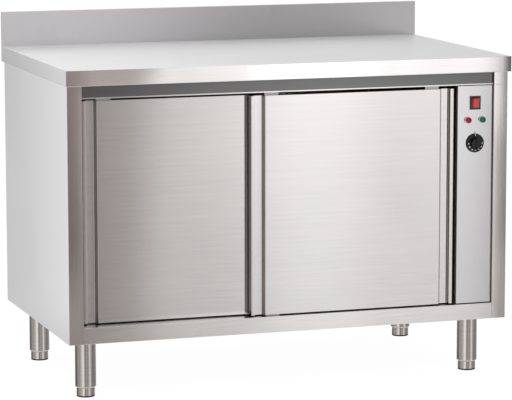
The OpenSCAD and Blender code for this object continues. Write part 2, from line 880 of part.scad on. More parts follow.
// Wires from the terminals to the switch, lamps, thermostat, motor and heating element, in one
// sleeve that is clipped to the right side
module wiring_loom() {
    body_back = face_y + thermostat_d;
    spade = 6;
    color("dimgray") {
        wire([[gland_x - 2 * block_pitch - 8, block_y, loom_z], [loom_x, block_y, loom_z],
            [loom_x, loom_y, loom_z], [loom_x, loom_y, switch_z + 16]], loom_r, loom_bend);
        for (p = [[block_y - 40, loom_z], [fan_y - 60, loom_z], [loom_y + 70, loom_z]])
            block([loom_x, p[0] - 5, p[1] - loom_r - 1],
                [inner_x - seat, p[0] + 5, p[1] + loom_r + 1]);
        for (z = [dial_z - 80, switch_z - 20])
            block([loom_x, loom_y - loom_r - 1, z - 5], [inner_x - seat, loom_y + loom_r + 1, z + 5]);
    }
    color("black") {
        for (i = [-2 : 2])
            rod([gland_x + i * block_pitch, block_y, block_z + block_h - 9],
                [gland_x + i * block_pitch, block_y, loom_z], wire_r);
        for (dz = [-8, 0, 8])
            wire([[loom_x, loom_y, switch_z + dz], [control_x, loom_y, switch_z + dz],
                [control_x, face_y + 38, switch_z + dz]], wire_r, wire_bend);
        for (side = [-1, 1]) {
            for (lead = [-1, 1])
                wire([[loom_x, loom_y, lamp_z + side * 7 + lead * 2],
                    [control_x + side * lamp_pitch / 2 + lead * 2.5, loom_y,
                        lamp_z + side * 7 + lead * 2],
                    [control_x + side * lamp_pitch / 2 + lead * 2.5, face_y + 32, lamp_z],
                    [control_x + side * lamp_pitch / 2 + lead * 2.5, face_y + 4, lamp_z]],
                    wire_r, wire_bend);
            wire([[loom_x, loom_y, dial_z + side * 6],
                [control_x + side * 8, loom_y, dial_z + side * 6],
                [control_x + side * 8, body_back + spade, dial_z + side * 6]],
                wire_r, wire_bend);
            wire([[loom_x, fan_y + side * 6, loom_z],
                [motor_x + motor_l / 2, fan_y + side * 6, loom_z],
                [motor_x + motor_l / 2, fan_y + side * 6, fan_z + motor_r + seat]],
                wire_r, wire_bend);
            wire([[loom_x, fan_y + element_ring_r + 16 - side * 6, loom_z],
                [loom_x, fan_y + element_ring_r + 16 - side * 6, fan_z + side * terminal_half_z],
                [partition_x + 60, fan_y + element_ring_r, fan_z + side * terminal_half_z],
                [partition_x + element_end + seat, fan_y + element_ring_r,
                    fan_z + side * terminal_half_z]], wire_r, wire_bend);
        }
    }
    color("beige") {
        for (dz = [-8, 0, 8])
            difference() {
                block([control_x - 4, face_y + 25, switch_z + dz - 1.8],
                    [control_x + 4, face_y + 40, switch_z + dz + 1.8]);
                block([control_x - 3 - seat, face_y + 24, switch_z + dz - 0.4 - seat],
                    [control_x + 3 + seat, face_y + 32 + seat, switch_z + dz + 0.4 + seat]);
            }
        for (side = [-1, 1])
            block([control_x + side * 8 - 3.5, body_back + seat, dial_z + side * 6 - 1.8],
                [control_x + side * 8 + 3.5, body_back + 2 * spade, dial_z + side * 6 + 1.8]);
    }
}

// Gland for the supply cable, with its lock nut inside the back panel
module cable_gland() {
    inside = inner_y - body_sheet;
    color("dimgray")
        difference() {
            union() {
                rod_y([gland_x, inside - 10, gland_z], gland_r, 16);
                translate([gland_x, inner_y, gland_z])
                    rotate([-90, 0, 0])
                        cylinder(r = 12, h = 5, $fn = 6);
                translate([gland_x, inside - 5, gland_z])
                    rotate([-90, 0, 0])
                        cylinder(r = 12, h = 5, $fn = 6);
                translate([gland_x, inner_y + 5, gland_z])
                    rotate([-90, 0, 0])
                        cylinder(r1 = 9.5, r2 = 7.5, h = 7);
            }
            rod_y([gland_x, inside - 12, gland_z], gland_bore, 30);
        }
}

// ---- Heated space ----

module shelf() {
    color("gainsboro")
        along_x(-inner_x + 2, partition_x - 2)
            folded([[inner_y - 8, shelf_top - shelf_edge], [inner_y - 8, shelf_top],
                [floor_front + 8, shelf_top], [floor_front + 8, shelf_top - shelf_edge]],
                shelf_sheet);
}

// Angles on the left side panel and the partition, which the shelf rests on
module shelf_supports() {
    seat_z = shelf_top - shelf_sheet;
    color("silver")
        along_y(floor_front + 16, inner_y - 16) {
            folded([[-inner_x + angle_w, seat_z], [-inner_x, seat_z],
                [-inner_x, seat_z - angle_w]], 1.5);
            folded([[partition_x, seat_z - angle_w], [partition_x, seat_z],
                [partition_x - angle_w, seat_z]], 1.5);
        }
}

// Box over the fan, with a round grille in front and outlet slots round its sides
module fan_cover() {
    slots = 7;
    pitch = 2 * cover_half / slots;
    color("lightgray")
        difference() {
            block([cover_x, fan_y - cover_half, fan_z - cover_half],
                [partition_x, fan_y + cover_half, fan_z + cover_half]);
            block([cover_x + 1, fan_y - cover_half + 1, fan_z - cover_half + 1],
                [partition_x + 1, fan_y + cover_half - 1, fan_z + cover_half - 1]);
            rod_x([cover_x - 1, fan_y, fan_z], 5, 3);
            for (ring = [1 : 4])
                for (i = [0 : 6 * ring - 1])
                    rod_x([cover_x - 1, fan_y + 13 * ring * cos(60 * i / ring),
                        fan_z + 13 * ring * sin(60 * i / ring)], 4.5, 3);
            for (i = [0 : slots - 1])
                let (mid = (i + 0.5) * pitch - cover_half) {
                    block([cover_x + 14, fan_y + mid - 10, fan_z - cover_half - 1],
                        [cover_x + 32, fan_y + mid + 10, fan_z + cover_half + 1]);
                    block([cover_x + 14, fan_y - cover_half - 1, fan_z + mid - 10],
                        [cover_x + 32, fan_y + cover_half + 1, fan_z + mid + 10]);
                }
        }
}

module fan_motor() {
    color("dimgray")
        difference() {
            union() {
                block([motor_x, fan_y - stud_half - 10, fan_z - stud_half - 10],
                    [motor_x + 3, fan_y + stud_half + 10, fan_z + stud_half + 10]);
                rod_x([motor_x + 2, fan_y, fan_z], motor_r, motor_l);
                rod_x([motor_x - 6, fan_y, fan_z], 10, 60);
            }
            rod_x([motor_x - 7, fan_y, fan_z], fan_shaft_r + fit, 47);
            for (dy = [-stud_half, stud_half])
                for (dz = [-stud_half, stud_half])
                    rod_x([motor_x - 1, fan_y + dy, fan_z + dz], stud_r + screw_play, 5);
        }
}

module fan_shaft() {
    color("silver")
        rod_x([wheel_back - 22, fan_y, fan_z], fan_shaft_r, motor_x + 38 - wheel_back + 22);
}

// Fan wheel: back plate, hub and slanted blades
module fan_wheel() {
    blades = 12;
    blade_l = wheel_back - wheel_front;
    color("silver")
        difference() {
            union() {
                rod_x([wheel_back - 1.5, fan_y, fan_z], fan_r, 1.5);
                rod_x([wheel_back - 18, fan_y, fan_z], 10, 18);
                for (i = [0 : blades - 1])
                    translate([wheel_front, fan_y, fan_z])
                        rotate([360 * i / blades, 0, 0])
                            translate([0, fan_r * 0.62, 0])
                                rotate([35, 0, 0])
                                    block([0, -14, -0.6], [blade_l - 1, 18, 0.6]);
            }
            rod_x([wheel_back - 20, fan_y, fan_z], fan_shaft_r, 22);
        }
}

// Two rings of sheathed element round the fan, joined at their ends, with terminals through
// the partition
module heating_element() {
    turn_x = [cover_x + element_step, cover_x + 2 * element_step];
    color("brown") {
        for (x = turn_x)
            translate([x, fan_y, fan_z])
                rotate([0, 90, 0])
                    rotate_extrude()
                        translate([element_ring_r, 0])
                            circle(r = element_r);
        for (dz = [-terminal_half_z, terminal_half_z])
            rod_x([turn_x[0], fan_y + element_ring_r, fan_z + dz], element_r,
                partition_x + element_end - turn_x[0]);
    }
}

// ---- Legs ----

module leg(x, y) {
    color("silver")
        translate([x, y, 0])
            difference() {
                union() {
                    rotate_extrude()
                        polygon([[spindle_r + fit, foot_h], [leg_r - 3, foot_h],
                            [leg_r, foot_h + 4], [leg_r, leg_top + plate_t / 2],
                            [leg_r - 1.5, leg_top + plate_t / 2],
                            [leg_r - 1.5, foot_h + 20], [spindle_r + fit, foot_h + 20]]);
                    difference() {
                        block([-plate_half, -plate_half, leg_top],
                            [plate_half, plate_half, leg_top + plate_t]);
                        rod_z([0, 0, leg_top - 1], leg_r - 3, plate_t + 2);
                    }
                }
                for (dx = [-plate_bolt, plate_bolt])
                    for (dy = [-plate_bolt, plate_bolt])
                        rod_z([dx, dy, leg_top - 1], leg_bolt_r + screw_play, plate_t + 2);
            }
}

module leg_bolts() {
    color("gray")
        for (x = [-leg_x, leg_x])
            for (y = [leg_front, leg_back])
                for (dx = [-plate_bolt, plate_bolt])
                    for (dy = [-plate_bolt, plate_bolt])
                        translate([x + dx, y + dy, leg_top]) {
                            rod_z([0, 0, -leg_bolt_head / 2], leg_bolt_r,
                                leg_bolt_l + leg_bolt_head / 2);
                            hex_z([0, 0, -leg_bolt_head], leg_bolt_hex, leg_bolt_head);
                            hex_z([0, 0, plate_t + channel_sheet], leg_bolt_hex,
                                leg_bolt_head + 1);
                        }
}

// Foot sleeve with the spindle that screws into the leg
module foot(x, y) {
    top = foot_h - seat;
    color("silver")
        translate([x, y, 0])
            rotate_extrude()
                polygon([[0, pad_t], [foot_r - 1, pad_t], [foot_r, pad_t + 1], [foot_r, top],
                    [spindle_r, top], [spindle_r, top + spindle_l], [0, top + spindle_l]]);
}

module foot_pad(x, y) {
    color("black")
        translate([x, y, 0])
            rotate_extrude()
                polygon([[0, 0], [foot_r - 1, 0], [foot_r - 0.3, 0.8], [foot_r - 0.3, pad_t],
                    [0, pad_t]]);
}

// ---- Assembly ----

worktop();
worktop_stiffeners();
ceiling_panel();
side_panel();  // left_side_panel
mirror([1, 0, 0]) side_panel();  // right_side_panel
back_panel();
back_screws();
base_panel();
base_channels();
bottom_rail();
top_rail();
door_track(front_lane);  // front_door_track
door_track(rear_lane);  // rear_door_track
door_stops();
door_guide();
partition();
control_panel();
door_skin(left_door_x, rear_lane);  // left_door_skin
door_liner(left_door_x, rear_lane);  // left_door_liner
door_hangers(left_door_x, rear_lane);  // left_door_hangers
door_bolts(left_door_x, rear_lane);  // left_door_bolts
door_skin(right_door_x, front_lane);  // right_door_skin
door_liner(right_door_x, front_lane);  // right_door_liner
door_hangers(right_door_x, front_lane);  // right_door_hangers
door_bolts(right_door_x, front_lane);  // right_door_bolts
door_roller(hanger_centres(left_door_x)[0], rear_lane);  // left_door_roller_1
door_roller(hanger_centres(left_door_x)[1], rear_lane);  // left_door_roller_2
door_roller(hanger_centres(right_door_x)[0], front_lane);  // right_door_roller_1
door_roller(hanger_centres(right_door_x)[1], front_lane);  // right_door_roller_2
switch_frame();
switch_rocker();
lamp_bezels();
color("red") lamp_lens(-1);  // red_lamp_lens
color("green") lamp_lens(1);  // green_lamp_lens
dial_knob();
thermostat();
thermostat_shaft();
shelf();
shelf_supports();
fan_cover();
fan_motor();
fan_shaft();
fan_wheel();
heating_element();
terminal_block();
wiring_loom();
cable_gland();
leg(-leg_x, leg_front);  // leg_front_left
leg(leg_x, leg_front);  // leg_front_right
leg(-leg_x, leg_back);  // leg_back_left
leg(leg_x, leg_back);  // leg_back_right
leg_bolts();
foot(-leg_x, leg_front);  // foot_front_left
foot(leg_x, leg_front);  // foot_front_right
foot(-leg_x, leg_back);  // foot_back_left
foot(leg_x, leg_back);  // foot_back_right
foot_pad(-leg_x, leg_front);  // pad_front_left
foot_pad(leg_x, leg_front);  // pad_front_right
foot_pad(-leg_x, leg_back);  // pad_back_left
foot_pad(leg_x, leg_back);  // pad_back_right
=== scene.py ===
"""Looks of the plate warmer cabinet: brushed sheet steel with rounded bends, chrome, plastics,
dial markings, camera and studio. Lengths are in metres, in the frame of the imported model."""

import json
import math

import bmesh
import bpy
from mathutils import Euler, Matrix, Vector

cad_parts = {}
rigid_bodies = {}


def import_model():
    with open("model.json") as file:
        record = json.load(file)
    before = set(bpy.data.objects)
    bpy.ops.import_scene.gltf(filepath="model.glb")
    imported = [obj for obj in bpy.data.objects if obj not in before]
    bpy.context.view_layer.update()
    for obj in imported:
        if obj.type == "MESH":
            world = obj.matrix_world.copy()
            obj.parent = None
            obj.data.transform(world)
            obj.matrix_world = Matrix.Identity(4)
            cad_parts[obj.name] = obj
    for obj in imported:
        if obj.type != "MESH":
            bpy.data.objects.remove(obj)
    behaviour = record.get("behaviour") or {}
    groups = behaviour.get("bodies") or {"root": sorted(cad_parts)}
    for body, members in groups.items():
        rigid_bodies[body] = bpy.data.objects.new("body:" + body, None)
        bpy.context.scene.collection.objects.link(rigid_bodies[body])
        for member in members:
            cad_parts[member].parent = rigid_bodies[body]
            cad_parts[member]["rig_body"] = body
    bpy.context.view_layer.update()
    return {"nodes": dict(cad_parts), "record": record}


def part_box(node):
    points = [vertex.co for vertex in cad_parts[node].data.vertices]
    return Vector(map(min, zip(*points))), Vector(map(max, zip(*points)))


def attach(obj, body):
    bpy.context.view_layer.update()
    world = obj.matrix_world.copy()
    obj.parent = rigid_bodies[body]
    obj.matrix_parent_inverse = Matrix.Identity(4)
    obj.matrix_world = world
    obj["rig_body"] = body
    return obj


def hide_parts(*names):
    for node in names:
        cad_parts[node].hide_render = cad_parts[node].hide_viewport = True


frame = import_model()
SLOTS = {part["node"]: part["material_slot"] for part in frame["record"]["subparts"]}


def add_object(name, data):
    """A new object in the scene."""
    new = bpy.data.objects.new(name, data)
    bpy.context.scene.collection.objects.link(new)
    return new


# ---- Camera, fitted to the photograph ----

CAMERA_AT = Vector((-2.2997, -6.9695, 1.5393))
CAMERA_AZIMUTH = 18.36
CAMERA_DROP = 8.447
CAMERA_ROLL = 0.051
CAMERA_LENS = 194.3
SENSOR_WIDTH = 36.0


def add_camera():
    data = bpy.data.cameras.new("camera")
    data.sensor_fit = "HORIZONTAL"
    data.sensor_width = SENSOR_WIDTH
    data.lens = CAMERA_LENS
    camera = add_object("camera", data)
    camera.location = CAMERA_AT
    camera.rotation_euler = Euler(
        (
            math.radians(90.0 - CAMERA_DROP),
            math.radians(CAMERA_ROLL),
            math.radians(-CAMERA_AZIMUTH),
        )
    )
    bpy.context.scene.camera = camera


# ---- Shader nodes ----

NOISE_DETAIL = 3.0
NOISE_ROUGHNESS = 0.55
# Nearly all values of the noise lie between these two.
NOISE_RANGE = (0.3, 0.7)


def add_node(tree, kind, **settings):
    """A node with its settings. A setting whose name starts with in_ is an input."""
    node = tree.nodes.new(kind)
    for key, value in settings.items():
        if key.startswith("in_"):
            node.inputs[key[3:].replace("_", " ")].default_value = value
        else:
            setattr(node, key, value)
    return node


def feed(tree, value, socket):
    """An input takes a plain value or the output of another node."""
    if isinstance(value, bpy.types.NodeSocket):
        tree.links.new(value, socket)
    else:
        socket.default_value = value


def coordinates(tree, kind):
    """The X, Y and Z of the shaded point, or of a direction in the world's shader."""
    place = add_node(tree, "ShaderNodeTexCoord")
    split = add_node(tree, "ShaderNodeSeparateXYZ")
    tree.links.new(place.outputs[kind], split.inputs[0])
    return split.outputs


def stretched_noise(tree, sizes, detail=NOISE_DETAIL):
    """Noise with one cell size along each axis, in metres."""
    place = add_node(tree, "ShaderNodeTexCoord")
    scale = add_node(tree, "ShaderNodeMapping")
    scale.inputs["Scale"].default_value = [1.0 / size for size in sizes]
    noise = add_node(tree, "ShaderNodeTexNoise", in_Scale=1.0, in_Detail=detail)
    noise.inputs["Roughness"].default_value = NOISE_ROUGHNESS
    tree.links.new(place.outputs["Object"], scale.inputs["Vector"])
    tree.links.new(scale.outputs["Vector"], noise.inputs["Vector"])
    return noise.outputs["Fac"]


def remap(tree, value, start, end, low, high, kind="LINEAR"):
    """The part of value from start to end, spread from low to high."""
    node = add_node(tree, "ShaderNodeMapRange", interpolation_type=kind)
    node.inputs["From Min"].default_value = start
    node.inputs["From Max"].default_value = end
    node.inputs["To Min"].default_value = low
    node.inputs["To Max"].default_value = high
    tree.links.new(value, node.inputs["Value"])
    return node.outputs["Result"]


def varied(tree, noise, middle, spread):
    """Noise made into a value that varies about a middle."""
    return remap(tree, noise, *NOISE_RANGE, middle - spread, middle + spread)


def maths(tree, operation, a, b):
    node = add_node(tree, "ShaderNodeMath", operation=operation)
    for value, socket in zip((a, b), node.inputs):
        feed(tree, value, socket)
    return node.outputs["Value"]


def toned(tree, colour, factor):
    """A colour multiplied by a factor."""
    node = add_node(tree, "ShaderNodeVectorMath", operation="SCALE")
    feed(tree, colour, node.inputs[0])
    tree.links.new(factor, node.inputs["Scale"])
    return node.outputs["Vector"]


def blended(tree, a, b, factor):
    """Colour a where the factor is 0, and colour b where it is 1."""
    node = add_node(tree, "ShaderNodeMix", data_type="RGBA")
    tree.links.new(factor, node.inputs["Factor"])
    for colour, socket in ((a, node.inputs["A"]), (b, node.inputs["B"])):
        feed(tree, (*colour, 1.0) if isinstance(colour, tuple) else colour, socket)
    return node.outputs["Result"]


def bump(tree, height, distance):
    node = add_node(tree, "ShaderNodeBump", in_Distance=distance)
    tree.links.new(height, node.inputs["Height"])
    return node.outputs["Normal"]


# ---- Materials ----

MATERIALS = {}

GRAIN_LENGTH = 0.09
GRAIN_WIDTH = 0.0011
GRAIN_LEAN = 0.02
GRAIN_DIRECTIONS = {
    "x": (1.0, GRAIN_LEAN, 0.0),
    "y": (GRAIN_LEAN, 1.0, 0.0),
    "z": (0.0, GRAIN_LEAN, 1.0),
}
STREAK_LENGTH = 4 * GRAIN_LENGTH
STREAK_WIDTH = 5 * GRAIN_WIDTH
# The streaks change the tone by this share of what the grain does.
STREAK_SHARE = 0.5
CLOUD_SIZE = 0.35
CLOUD_DETAIL = 2.0
CLOUD_SPREAD = 0.03
# How far the grain and the clouds move the roughness, as shares of it.
GRAIN_ROUGHNESS = 0.15
CLOUD_ROUGHNESS = 0.08
QUARTER_TURN = 0.25


def new_material(name):
    """A material, its node tree and its Principled shader."""
    material = bpy.data.materials.new(name)
    material.use_nodes = True
    MATERIALS[name] = material
    return material, material.node_tree, material.node_tree.nodes["Principled BSDF"]


def grain_sizes(along, length, width):
    """The cell sizes of noise that is long along one axis, or round the Z axis."""
    if along == "round":
        return [length, length, width]
    sizes = [width] * 3
    sizes["xyz".index(along)] = length
    return sizes


def grain_tangent(tree, along):
    """The direction along the grain. It leans a little, so that it is never square to a face."""
    if along == "round":
        normal = add_node(tree, "ShaderNodeNewGeometry")
        cross = add_node(tree, "ShaderNodeVectorMath", operation="CROSS_PRODUCT")
        cross.inputs[0].default_value = (GRAIN_LEAN, 0.0, 1.0)
        tree.links.new(normal.outputs["Normal"], cross.inputs[1])
        return cross.outputs["Vector"]
    node = add_node(tree, "ShaderNodeCombineXYZ")
    for value, socket in zip(GRAIN_DIRECTIONS[along], node.inputs):
        socket.default_value = value
    return node.outputs["Vector"]


def steel(
    name, colour, along, roughness, anisotropic, grain=0.06, relief=0.000006, metallic=1.0
):
    """Brushed stainless steel: grain along one direction, with faint wider streaks and clouds.
    Less than 1 for metallic makes it satin, with part of the light spread evenly."""
    material, tree, shader = new_material(name)
    fine = stretched_noise(tree, grain_sizes(along, GRAIN_LENGTH, GRAIN_WIDTH))
    wide = stretched_noise(tree, grain_sizes(along, STREAK_LENGTH, STREAK_WIDTH))
    clouds = stretched_noise(tree, [CLOUD_SIZE] * 3, CLOUD_DETAIL)
    shade = varied(tree, clouds, 1.0, CLOUD_SPREAD)
    for noise, spread in ((fine, grain), (wide, STREAK_SHARE * grain)):
        shade = maths(tree, "MULTIPLY", shade, varied(tree, noise, 1.0, spread))
    rough = maths(
        tree,
        "ADD",
        varied(tree, fine, roughness, GRAIN_ROUGHNESS * roughness),
        varied(tree, clouds, 0.0, CLOUD_ROUGHNESS * roughness),
    )
    tree.links.new(toned(tree, colour, shade), shader.inputs["Base Color"])
    tree.links.new(rough, shader.inputs["Roughness"])
    tree.links.new(bump(tree, fine, relief), shader.inputs["Normal"])
    tree.links.new(grain_tangent(tree, along), shader.inputs["Tangent"])
    shader.inputs["Metallic"].default_value = metallic
    shader.inputs["Anisotropic"].default_value = anisotropic
    shader.inputs["Anisotropic Rotation"].default_value = QUARTER_TURN
    return material


# Painted reflection: steps of tone along X that stand in for the studio mirrored in the steel,
# with a painted dark corner at the edge's right end. Each gives where it starts and ends, and
# the factors that it goes between.
UPSTAND_PAINTED_REFLECTION = ((-0.45, 0.20, 1.23, 0.77), (0.25, 0.75, 0.0, 0.18))
WORKTOP_PAINTED_REFLECTION = ((-0.60, 0.20, 1.10, 0.97), (0.20, 0.60, 0.0, -0.03))
EDGE_PAINTED_REFLECTION = ((0.20, 0.45, 1.0, 0.86), (0.574, 0.597, 0.0, -0.52))


def painted_light_along(material, steps):
    """Painted light and shade: a tone that changes along the length of a piece. The factors of
    the steps are added.
    """
    tree = material.node_tree
    base = tree.nodes["Principled BSDF"].inputs["Base Color"]
    along = coordinates(tree, "Object")["X"]
    total = 0.0
    for start, end, low, high in steps:
        step = remap(tree, along, start, end, low, high, "SMOOTHSTEP")
        total = maths(tree, "ADD", total, step)
    tree.links.new(toned(tree, base.links[0].from_socket, total), base)


MOTTLE_SIZE = 0.006
MOTTLE_ROUGHNESS = 0.2


def metal(name, colour, roughness, spread=0.05):
    """Plain metal with a faint unevenness."""
    _, tree, shader = new_material(name)
    mottle = stretched_noise(tree, [MOTTLE_SIZE] * 3)
    shade = varied(tree, mottle, 1.0, spread)
    rough = varied(tree, mottle, roughness, MOTTLE_ROUGHNESS * roughness)
    tree.links.new(toned(tree, colour, shade), shader.inputs["Base Color"])
    tree.links.new(rough, shader.inputs["Roughness"])
    shader.inputs["Metallic"].default_value = 1.0


TEXTURE_SIZE = 0.0012
TEXTURE_RELIEF = 0.00003
TEXTURE_SPREAD = 0.07
TEXTURE_ROUGHNESS = 0.05


def plastic(name, colour, roughness, specular=0.5):
    """Moulded plastic or rubber with a fine surface texture."""
    _, tree, shader = new_material(name)
    skin = stretched_noise(tree, [TEXTURE_SIZE] * 3)
    shade = varied(tree, skin, 1.0, TEXTURE_SPREAD)
    rough = varied(tree, skin, roughness, TEXTURE_ROUGHNESS)
    tree.links.new(toned(tree, colour, shade), shader.inputs["Base Color"])
    tree.links.new(rough, shader.inputs["Roughness"])
    tree.links.new(bump(tree, skin, TEXTURE_RELIEF), shader.inputs["Normal"])
    shader.inputs["Specular IOR Level"].default_value = specular


RIB_SIZE = 0.002
RIB_SPREAD = 0.25
LENS_DEPTH = (0.004, 0.004, 0.004)
LENS_CLOUDINESS = 0.3
LENS_SPECULAR = 0.25
LENS_COAT = 0.15
LENS_COAT_ROUGHNESS = 0.05


def lens_plastic(name, colour, roughness=0.12):
    """Translucent coloured plastic with ribs inside, as on an indicator lamp."""
    material, tree, shader = new_material(name)
    ribs = stretched_noise(tree, [RIB_SIZE] * 3)
    shade = varied(tree, ribs, 1.0, RIB_SPREAD)
    tree.links.new(toned(tree, colour, shade), shader.inputs["Base Color"])
    shader.inputs["Roughness"].default_value = roughness
    shader.inputs["Subsurface Weight"].default_value = LENS_CLOUDINESS
    shader.inputs["Subsurface Radius"].default_value = LENS_DEPTH
    shader.inputs["Subsurface Scale"].default_value = 1.0
    shader.inputs["Specular IOR Level"].default_value = LENS_SPECULAR
    shader.inputs["Coat Weight"].default_value = LENS_COAT
    shader.inputs["Coat Roughness"].default_value = LENS_COAT_ROUGHNESS
    return material


def make_steels():
    """The finishes of the sheets and legs: colour, grain, roughness and anisotropy. Some carry
    painted light: painted reflection along the worktop, the upstand and the edge, and painted
    shade on the top rail and in the finger pulls.
    """
    worktop = steel(
        "worktop_steel", (0.84, 0.84, 0.85), "x", 0.36, 1.0, grain=0.02, metallic=0.35
    )
    painted_light_along(worktop, WORKTOP_PAINTED_REFLECTION)
    upstand = steel("upstand_steel", (0.60, 0.60, 0.615), "z", 0.34, 0.6, grain=0.01)
    painted_light_along(upstand, UPSTAND_PAINTED_REFLECTION)
    edge = steel("edge_steel", (0.76, 0.755, 0.75), "x", 0.07, 1.0, grain=0.03)
    painted_light_along(edge, EDGE_PAINTED_REFLECTION)
    steel("flange_steel", (0.53, 0.525, 0.53), "y", 0.12, 0.8, grain=0.03)
    steel("body_steel", (0.64, 0.635, 0.64), "z", 0.08, 0.7, grain=0.02)
    steel("rail_steel", (0.68, 0.67, 0.66), "x", 0.14, 1.0, grain=0.03)
    steel("post_steel", (0.64, 0.63, 0.62), "z", 0.05, 0.0, grain=0.04, relief=0.000002)
    steel("return_steel", (0.66, 0.61, 0.57), "z", 0.5, 0.0, grain=0.04)
    # Painted shade: the slanted folds and the wall of the finger pulls are made darker, standing
    # in for the shade in the recesses; the folds are also rougher.
    steel("fold_painted_shade", (0.50, 0.47, 0.45), "z", 0.45, 0.0, grain=0.03)
    steel("pull_painted_shade", (0.36, 0.33, 0.31), "z", 0.10, 0.0, grain=0.03)
    steel("seam_steel", (0.36, 0.35, 0.34), "x", 0.30, 0.0, grain=0.10)
    # Painted shade: the top rail is made nearly black, standing in for the shade under the
    # worktop's overhang.
    steel("top_rail_painted_shade", (0.150, 0.150, 0.153), "x", 0.20, 0.8)
    steel("door_steel", (0.64, 0.63, 0.625), "x", 0.13, 1.0, grain=0.03)
    steel("panel_steel", (0.60, 0.60, 0.605), "x", 0.13, 1.0, grain=0.02)
    steel("inner_steel", (0.55, 0.55, 0.56), "x", 0.36, 0.2, grain=0.03)
    steel("leg_steel", (0.55, 0.525, 0.51), "round", 0.14, 0.6, relief=0.000002)


def make_metals():
    metal("zinc_steel", (0.55, 0.56, 0.58), 0.35)
    metal("lamp_chrome", (0.70, 0.70, 0.72), 0.06, 0.02)
    metal("copper", (0.72, 0.42, 0.26), 0.3)
    metal("element_steel", (0.20, 0.17, 0.15), 0.45, 0.15)


def make_plastics():
    plastic("switch_black", (0.016, 0.016, 0.018), 0.30)
    plastic("dial_black", (0.006, 0.006, 0.007), 0.30, specular=0.35)
    plastic("foot_plastic", (0.008, 0.008, 0.008), 0.7)
    plastic("stop_rubber", (0.03, 0.03, 0.03), 0.8)
    plastic("nylon", (0.78, 0.76, 0.70), 0.45)
    plastic("motor_black", (0.05, 0.05, 0.055), 0.4)
    plastic("terminal_plastic", (0.78, 0.74, 0.62), 0.45)
    plastic("gland_plastic", (0.05, 0.05, 0.05), 0.5)
    plastic("wire_insulation", (0.03, 0.03, 0.03), 0.4)
    plastic("print_white", (0.85, 0.85, 0.85), 0.5)
    plastic("print_black", (0.03, 0.03, 0.03), 0.5)


# Painted shade: the rocker is darker at its left, where its side lies in shade. The darkness
# ends between two shares of its width.
ROCKER_PAINTED_SHADE = (0.18, 0.34)
ROCKER_PAINTED_SHADE_TONE = 0.30


def make_lenses():
    lens_plastic("red_lens", (0.36, 0.002, 0.008))
    lens_plastic("green_lens", (0.002, 0.115, 0.065))
    rocker = lens_plastic("rocker_red", (0.56, 0.06, 0.06), 0.2)
    # Painted shade on the left part of the rocker.
    low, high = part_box("switch_rocker")
    start, end = (low.x + share * (high.x - low.x) for share in ROCKER_PAINTED_SHADE)
    painted_light_along(rocker, ((start, end, ROCKER_PAINTED_SHADE_TONE, 1.0),))


# ---- Sheet pieces with rounded bends ----

SHEET_PIECES = {
    "worktop": "worktop_steel",
    "left_side_panel": "body_steel",
    "right_side_panel": "body_steel",
    "bottom_rail": "rail_steel",
    "top_rail": "top_rail_painted_shade",
    "left_door_skin": "door_steel",
    "right_door_skin": "door_steel",
    "control_panel": "panel_steel",
}
BEND_RADIUS = 0.0009
BEND_SEGMENTS = 4
# A fold turns by more degrees than this, between faces wider than a sheet is thick.
BEND_ANGLE = 20.0
SHEET_LIMIT = 0.003
# Faces that turn by fewer degrees than the first are one face, and edges that turn by more
# than the second are shaded sharp.
FLAT_ANGLE = 0.5
SHARP_ANGLE = 32.0
MERGE_DISTANCE = 1e-6
UPSTAND_HEIGHT = 0.095
HEM_HEIGHT = 0.0032
POST_DEPTH = 0.002
# The wall of a door's right finger pull, measured inwards from the door's edge.
PULL_WALL = 0.0095
WALL_TOLERANCE = 0.001
# How much of a unit normal lies along an axis, which is 1 on a face squarely across it.
SQUARE = 0.95
STEEP = 0.7
SLANTED = 0.5
GLANCING = 0.3


def mean_width(face):
    """The width of a long narrow face. On the cut edge of a sheet it is the thickness."""
    return 2.0 * face.calc_area() / face.calc_perimeter()


def is_bend(edge):
    if len(edge.link_faces) != 2 or edge.calc_face_angle(0.0) < math.radians(BEND_ANGLE):
        return False
    return min(mean_width(face) for face in edge.link_faces) > SHEET_LIMIT


def weigh_normals(obj):
    """Shading normals that follow the large faces, so that flat sheet looks flat."""
    weighted = obj.modifiers.new("weighted", "WEIGHTED_NORMAL")
    weighted.keep_sharp = True


def sheet_piece(node, material):
    """A copy of a CAD sheet whose folds are rounded. It stands for the node."""
    source = frame["nodes"][node]
    mesh = bpy.data.meshes.new(node + "_sheet")
    solid = bmesh.new()
    solid.from_mesh(source.data)
    bmesh.ops.remove_doubles(solid, verts=solid.verts, dist=MERGE_DISTANCE)
    bmesh.ops.dissolve_limit(
        solid, angle_limit=math.radians(FLAT_ANGLE), verts=solid.verts, edges=solid.edges
    )
    bmesh.ops.bevel(
        solid,
        geom=[edge for edge in solid.edges if is_bend(edge)],
        offset=BEND_RADIUS,
        offset_type="OFFSET",
        segments=BEND_SEGMENTS,
        profile=0.5,
        affect="EDGES",
        clamp_overlap=True,
    )
    solid.to_mesh(mesh)
    solid.free()
    mesh.polygons.foreach_set("use_smooth", [True] * len(mesh.polygons))
    mesh.set_sharp_from_angle(angle=math.radians(SHARP_ANGLE))
    mesh.materials.append(MATERIALS[material])
    piece = add_object(node + "_sheet", mesh)
    weigh_normals(piece)
    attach(piece, source["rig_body"])
    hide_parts(node)
    return piece


def refinish(piece, material, chosen):
    """The faces that chosen(centre, normal) picks get another finish."""
    piece.data.materials.append(MATERIALS[material])
    last = len(piece.data.materials) - 1
    for face in piece.data.polygons:
        if chosen(face.center, face.normal):
            face.material_index = last


